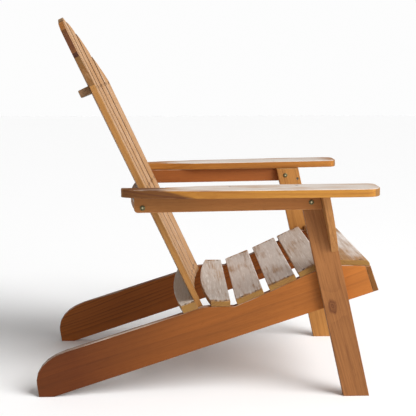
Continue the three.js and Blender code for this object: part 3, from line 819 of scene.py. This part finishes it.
def makeSlatTree():
    # A row of unit blocks becomes flat boards cut to the arch, then fans out and wraps round the dish.
    tree, given, result = newGroup(
        "fanBack", "GeometryNodeTree",
        {"Count": ("NodeSocketInt", back["count"]), "Width": (floatSocket, back["width"]),
         "Thick": (floatSocket, back["thick"]), "Length": (floatSocket, back["length"]),
         "Pitch Low": (floatSocket, back["pitchLow"]), "Pitch High": (floatSocket, back["pitchHigh"]),
         "Dish": (floatSocket, back["dish"]), "Arch Wide": (floatSocket, back["archWide"]),
         "Arch Deep": (floatSocket, back["archDeep"]), "Bulge": (floatSocket, back["bulge"]),
         "Lean": (floatSocket, back["lean"]), "Foot": (vectorSocket, None),
         "Material": ("NodeSocketMaterial", None)},
        {"Geometry": ("NodeSocketGeometry", None)},
    )
    count, width, thick, length = [Field(tree, given[k]) for k in ("Count", "Width", "Thick", "Length")]
    pitchLow, pitchHigh, dish = [Field(tree, given[k]) for k in ("Pitch Low", "Pitch High", "Dish")]
    archWide, archDeep, lean = [Field(tree, given[k]) for k in ("Arch Wide", "Arch Deep", "Lean")]

    row = addNode(tree, "GeometryNodeMeshLine", {"Count": given["Count"], "Offset": (0, 0, 0)})
    block = addNode(tree, "GeometryNodeMeshCube", {"Vertices X": 9, "Vertices Y": 2, "Vertices Z": 2})
    copies = addNode(tree, "GeometryNodeInstanceOnPoints", {
        "Points": row.outputs[0], "Instance": block.outputs[0],
    })
    index = addNode(tree, "GeometryNodeInputIndex").outputs[0]
    numbered = {"Geometry": copies.outputs[0], "Name": "slat", "Value": index}
    named = addNode(tree, "GeometryNodeStoreNamedAttribute", numbered, data_type="FLOAT", domain="INSTANCE")
    solid = addNode(tree, "GeometryNodeRealizeInstances", {0: named.outputs[0]}).outputs[0]

    slat = addNode(tree, "GeometryNodeInputNamedAttribute", {"Name": "slat"}, data_type="FLOAT")
    step = Field(tree, slat.outputs[0]) - (count - 1.0) / 2.0
    px, py, pz = split(tree, addNode(tree, "GeometryNodeInputPosition").outputs[0])
    across = px * width
    up = (pz + 0.5) * thick
    curve = addNode(tree, "ShaderNodeFloatCurve", {"Value": (step * pitchHigh + across).abs() / archWide})
    line = curve.mapping.curves[0]
    line.points[0].location = back["arch"][0]
    line.points[1].location = back["arch"][-1]
    for out, down in back["arch"][1:-1]:
        line.points.new(out, down)
    for point in line.points:
        point.handle_type = "VECTOR"
    curve.mapping.update()
    bulge = Field(tree, given["Bulge"]) * step.abs() / 3.0 * (1.0 - px * px * 4.0)
    top = length - Field(tree, curve.outputs[0]) * archDeep + bulge

    # However far a slat is fanned out and turned, its foot is cut to the level of the others.
    fan = step * (pitchLow - pitchHigh) / length
    turn = step * (pitchLow + pitchHigh) * 0.5 / dish
    middle = length * 0.5
    footAcross = across * fan.cos() + middle * fan.sin()
    footUp = dish + footAcross * turn.sin() - (dish - up) * turn.cos()
    footLevel = footUp * lean.math("TANGENT", lean) * -1.0
    foot = middle + (footLevel - middle - across * fan.sin()) / fan.cos()
    along = foot + (top - foot) * (py + 0.5)

    fannedX = across * fan.cos() - (along - middle) * fan.sin()
    fannedY = middle + across * fan.sin() + (along - middle) * fan.cos()
    dishedX = fannedX * turn.cos() + (dish - up) * turn.sin()
    dishedZ = dish + fannedX * turn.sin() - (dish - up) * turn.cos()
    place = join(tree, dishedX, fannedY, dishedZ)
    placed = addNode(tree, "GeometryNodeSetPosition", {"Geometry": solid, "Position": place})
    tilt = join(tree, back["quarterTurn"] - lean, 0.0, 0.0)
    stood = addNode(tree, "GeometryNodeTransform", {
        "Geometry": placed.outputs[0], "Translation": given["Foot"], "Rotation": tilt,
    })
    painted = addNode(tree, "GeometryNodeSetMaterial", {
        "Geometry": stood.outputs[0], "Material": given["Material"],
    })
    plug(tree, painted.outputs[0], result["Geometry"])
    return tree


def fanOf(step):  # how far a slat is fanned out, and turned round the dish
    turn = step * (back["pitchLow"] + back["pitchHigh"]) / 2 / back["dish"]
    return step * (back["pitchLow"] - back["pitchHigh"]) / back["length"], turn


def onSlat(step, across, along, up):  # a place on one slat, in the chair's frame, and which way it faces
    fan, turn = fanOf(step)
    middle, dish, lean = back["length"] / 2, back["dish"], back["lean"]
    x = across * math.cos(fan) - (along - middle) * math.sin(fan)
    y = middle + across * math.sin(fan) + (along - middle) * math.cos(fan)
    spot = Vector((
        x * math.cos(turn) + (dish - up) * math.sin(turn),
        y,
        dish + x * math.sin(turn) - (dish - up) * math.cos(turn),
    ))
    tilt = Matrix.Rotation(math.pi / 2 - lean, 3, "X")
    front = tilt @ Vector((-math.sin(turn), 0, math.cos(turn)))
    return back["foot"] + tilt @ spot, front


def inSlat(point):  # which slat a point belongs to, and its place in that slat
    flat = Matrix.Rotation(back["lean"] - math.pi / 2, 3, "X") @ (point - back["foot"])
    dish, middle = back["dish"], back["length"] / 2
    arc = math.atan2(flat.x, dish - flat.z) * dish
    pitch = back["pitchLow"] + (back["pitchHigh"] - back["pitchLow"]) * flat.y / back["length"]
    outer = back["count"] // 2
    step = max(-outer, min(outer, round(arc / pitch)))
    fan, turn = fanOf(step)
    x = flat.x * math.cos(turn) - (dish - flat.z) * math.sin(turn)
    up = dish - flat.x * math.sin(turn) - (dish - flat.z) * math.cos(turn)
    across = x * math.cos(fan) + (flat.y - middle) * math.sin(fan)
    along = middle - x * math.sin(fan) + (flat.y - middle) * math.cos(fan)
    return Vector((across, along, up)), step + outer


slatLook = {
    # heart is near black here: it is the colour of the painted shade in and beside the gaps
    **goldBoard, "light": "#b58344", "dark": "#875526", "heart": "#36180a", "pale": "#b8916b",
    "bleach": 0.75, "patchy": 0.8, "most": 0.85, "seed": 51.0, "length": back["length"], "gapShade": 1.0,
    "tints": ["#6f5030", "#6a3f28", "#b07238", "#a8845a", "#8a5a30", "#7c4a28", "#8a6038"],
    "rimShade": 0.8, "rimFrom": 0.0225, "rimTo": 0.028,  # painted shade beside the gaps, from here out
}


def markGaps(obj):  # marks the slats' long sides, but for the two outermost ones, and their broad faces, for the painted shade in and beside the gaps
    mesh = obj.data
    mesh.attributes.new("gap", "FLOAT", "FACE")
    mesh.attributes.new("broad", "FLOAT", "FACE")
    gap, broad = [mesh.attributes[name] for name in ("gap", "broad")]
    for face in mesh.polygons:
        here, slat = inSlat(face.center)
        ahead, unused = inSlat(face.center + face.normal * hair)
        sideways = (ahead.x - here.x) / hair
        outer = (slat == 0 and sideways < 0) or (slat == back["count"] - 1 and sideways > 0)
        gap.data[face.index].value = 1.0 if abs(sideways) > 0.25 and not outer else 0.0
        broad.data[face.index].value = 1.0 if abs(ahead.z - here.z) > 0.9 * hair else 0.0


def roundTops(obj):  # the curved tops are rounded over more than the long edges
    work = bmesh.new()
    work.from_mesh(obj.data)
    tilt = Vector((0, math.sin(back["lean"]), math.cos(back["lean"])))
    rims = []
    for edge in work.edges:
        if len(edge.link_faces) == 2:
            climbs = sorted(face.normal.dot(tilt) for face in edge.link_faces)
            if climbs[0] < 0.2 and climbs[1] > 0.45:
                rims.append(edge)
    bmesh.ops.bevel(
        work, geom=rims, offset=back["topRound"], segments=4, profile=0.5, affect="EDGES",
        clamp_overlap=True,
    )
    work.to_mesh(obj.data)
    work.free()


def railHeights():  # how far up the slats each back rail crosses them
    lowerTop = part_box("lower_back_rail")[1].z
    middleLow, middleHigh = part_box("middle_back_rail")
    upperLow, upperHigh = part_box("upper_back_rail")
    rise = math.cos(back["lean"])
    middle = ((middleLow.z + middleHigh.z) / 2 - back["foot"].z) / rise
    lower = (lowerTop - back["screwsBelowTop"] - back["foot"].z) / rise
    tilt = Vector((0, math.sin(back["lean"]), rise))
    upper = ((upperLow + upperHigh) / 2 - back["foot"]).dot(tilt)
    return lower, middle, upper


def makeBack():
    fanBack = growTree("back_slats", makeSlatTree(), {"Foot": back["foot"]})
    outer = back["count"] // 2
    spots = []
    for height in railHeights():
        for step in range(-outer, outer + 1):
            for across in back["screwsAcross"]:
                spots.append(onSlat(step, across * back["width"], height, back["thick"]))
    screwSpots["back_slats"] = spots
    drill(fanBack, spots)
    roundTops(fanBack)
    easeEdges(fanBack, back["edgeRound"], 3, least=50)
    markGrain(fanBack, inSlat, endLimit=0.3)
    markGaps(fanBack)
    weightNormals(fanBack)
    fanBack.data.materials.clear()
    fanBack.data.materials.append(woodMaterial("back_slat_wood", slatLook))
    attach(fanBack, "root")
    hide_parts(*[f"back_slat_{i + 1}" for i in range(back["count"])])


makeBack()
print("back ready")


def sunkIn(spots):
    return [(spot - aim * screw["sunk"], aim) for spot, aim in spots]


def placeScrews():
    wide, shank = screw["head"], screw["shank"]
    rings = [(0.0004, -screw["length"]), (shank * 0.6, -screw["length"] + 0.003),
             (shank * 0.8, -screw["headDeep"]), (wide, -0.0003), (wide * 0.97, 0.0)]
    head = turnedHead("screw_head", rings, crossReach, screw["slotDeep"], 24)
    seatSpots = [pair for name, spots in screwSpots.items() if name != "back_slats" for pair in spots]
    placeHeads("board_screws", head, sunkIn(seatSpots), screwMetal, 4, "dark_steel")
    placeHeads("back_screws", head, sunkIn(screwSpots["back_slats"]), screwMetal, 9, "dark_steel")
    nodes, spots = [], []
    for side, sign in sides.items():
        for level in ("upper", "lower"):
            node = f"bracket_screw_{level}_{side}"
            low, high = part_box(node)
            x = high.x if sign < 0 else low.x
            nodes.append(node)
            spots.append((Vector((x, (low.y + high.y) / 2, (low.z + high.z) / 2)), Vector((-sign, 0, 0))))
    placeHeads("bracket_screws", head, sunkIn(spots), screwMetal, 6, "dark_steel", *nodes)
    bpy.data.objects.remove(head)


def placeBolts():
    kinds = {"arm_front_bolt": 1, "arm_rear_bolt": 1, "leg_bolt_upper": -1, "leg_bolt_lower": -1,
             "arm_front_nut": -1}  # 1 has its head outside, -1 inside
    wide = bolt["head"]
    for number, (kind, way) in enumerate(kinds.items()):
        spots, nodes = [], []
        for side, sign in sides.items():
            node = f"{kind}_{side}"
            low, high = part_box(node)
            facing = sign * way
            x = (high.x if facing > 0 else low.x) - facing * bolt["headHigh"]
            nodes.append(node)
            spots.append((Vector((x, (low.y + high.y) / 2, (low.z + high.z) / 2)), Vector((facing, 0, 0))))
        length = high.x - low.x - bolt["headHigh"]
        shank = bolt["shank"] if "bolt" in kind else bolt["sleeve"]
        rings = [(shank * 0.8, -length), (shank, -length + 0.0006), (shank, 0.0), (wide - 0.0002, 0.0),
                 (wide, 0.0002), (wide, 0.0009), (wide - 0.0005, 0.0015), (wide - 0.0015, 0.0020),
                 (wide - 0.003, bolt["headHigh"])]
        head = turnedHead(kind + "_head", rings, hexReach, bolt["keyDeep"], 48)
        placeHeads(kind + "s", head, spots, boltMetal, 20 + number, "aged_brass", *nodes)
        bpy.data.objects.remove(head)
    for name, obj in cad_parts.items():  # hidden inside the wood: they keep their CAD shape
        if name.startswith(("leg_insert", "arm_rear_barrel")):
            obj.data.materials.clear()
            obj.data.materials.append(screwMetal)


placeScrews()
placeBolts()
print("fastenings ready")


stage = {"reach": 12.0, "floor": (0.97, 0.97, 0.97, 1), "roughness": 0.9}


def makeStage():
    mesh = bpy.data.meshes.new("floor")
    reach = stage["reach"]
    corners = [(-reach, -reach, 0), (reach, -reach, 0), (reach, reach, 0), (-reach, reach, 0)]
    mesh.from_pydata(corners, [], [(0, 1, 2, 3)])
    floor = bpy.data.objects.new("floor", mesh)
    scene.collection.objects.link(floor)
    material = bpy.data.materials.new("pale_floor")
    material.use_nodes = True
    shader = material.node_tree.nodes["Principled BSDF"]
    shader.inputs["Base Color"].default_value = stage["floor"]
    shader.inputs["Roughness"].default_value = stage["roughness"]
    mesh.materials.append(material)


light = {
    "skyFill": 0.38, "skyLean": 0.16,  # the white room as the chair sees it, brighter in front than behind
    "backdrop": 0.98,  # the same room, as the camera sees it
    "keyStrength": 3.0, "keyFrom": (-1.2, -1.6, 2.2), "keySpread": math.radians(38),
    "sideWatts": 20, "sidePlace": (-2.0, -1.7, 1.0), "sideSize": 1.6,
}


def makeLights():
    world = bpy.data.worlds.new("studio")
    scene.world = world
    world.use_nodes = True
    tree = world.node_tree
    seen = Field(tree, addNode(tree, "ShaderNodeLightPath").outputs["Is Camera Ray"])
    background = tree.nodes["Background"]
    background.inputs["Color"].default_value = (1.0, 1.0, 1.0, 1.0)
    toward = addNode(tree, "ShaderNodeTexCoord").outputs["Generated"]
    fill = split(tree, toward)[1] * -light["skyLean"] + light["skyFill"]
    plug(tree, fill + seen * (light["backdrop"] - fill), background.inputs["Strength"])
    key = bpy.data.lights.new("key", "SUN")
    key.energy = light["keyStrength"]
    key.angle = light["keySpread"]
    side = bpy.data.lights.new("side_softbox", "AREA")
    side.energy = light["sideWatts"]
    side.size = light["sideSize"]
    for data, place in ((key, light["keyFrom"]), (side, light["sidePlace"])):
        lamp = bpy.data.objects.new(data.name, data)
        lamp.location = place
        lamp.rotation_euler = (Vector((0, 0, 0.4)) - Vector(place)).to_track_quat("-Z", "Y").to_euler()
        scene.collection.objects.link(lamp)


cameraSet = {"place": (-2.4835, 0.079, 0.855), "yaw": 2.06, "pitch": 9.2, "lens": 78.1}


def makeCamera():
    data = bpy.data.cameras.new("camera")
    data.lens = cameraSet["lens"]
    data.sensor_width = 36
    data.clip_start = 0.05
    data.clip_end = 60
    camera = bpy.data.objects.new("camera", data)
    camera.location = cameraSet["place"]
    yaw, pitch = math.radians(cameraSet["yaw"]), math.radians(cameraSet["pitch"])
    aim = Vector((math.cos(yaw) * math.cos(pitch), -math.sin(yaw) * math.cos(pitch), -math.sin(pitch)))
    camera.rotation_euler = aim.to_track_quat("-Z", "Y").to_euler()
    scene.collection.objects.link(camera)
    scene.camera = camera


makeStage()
makeLights()
makeCamera()
scene.view_settings.view_transform = "Standard"
print("stage ready")
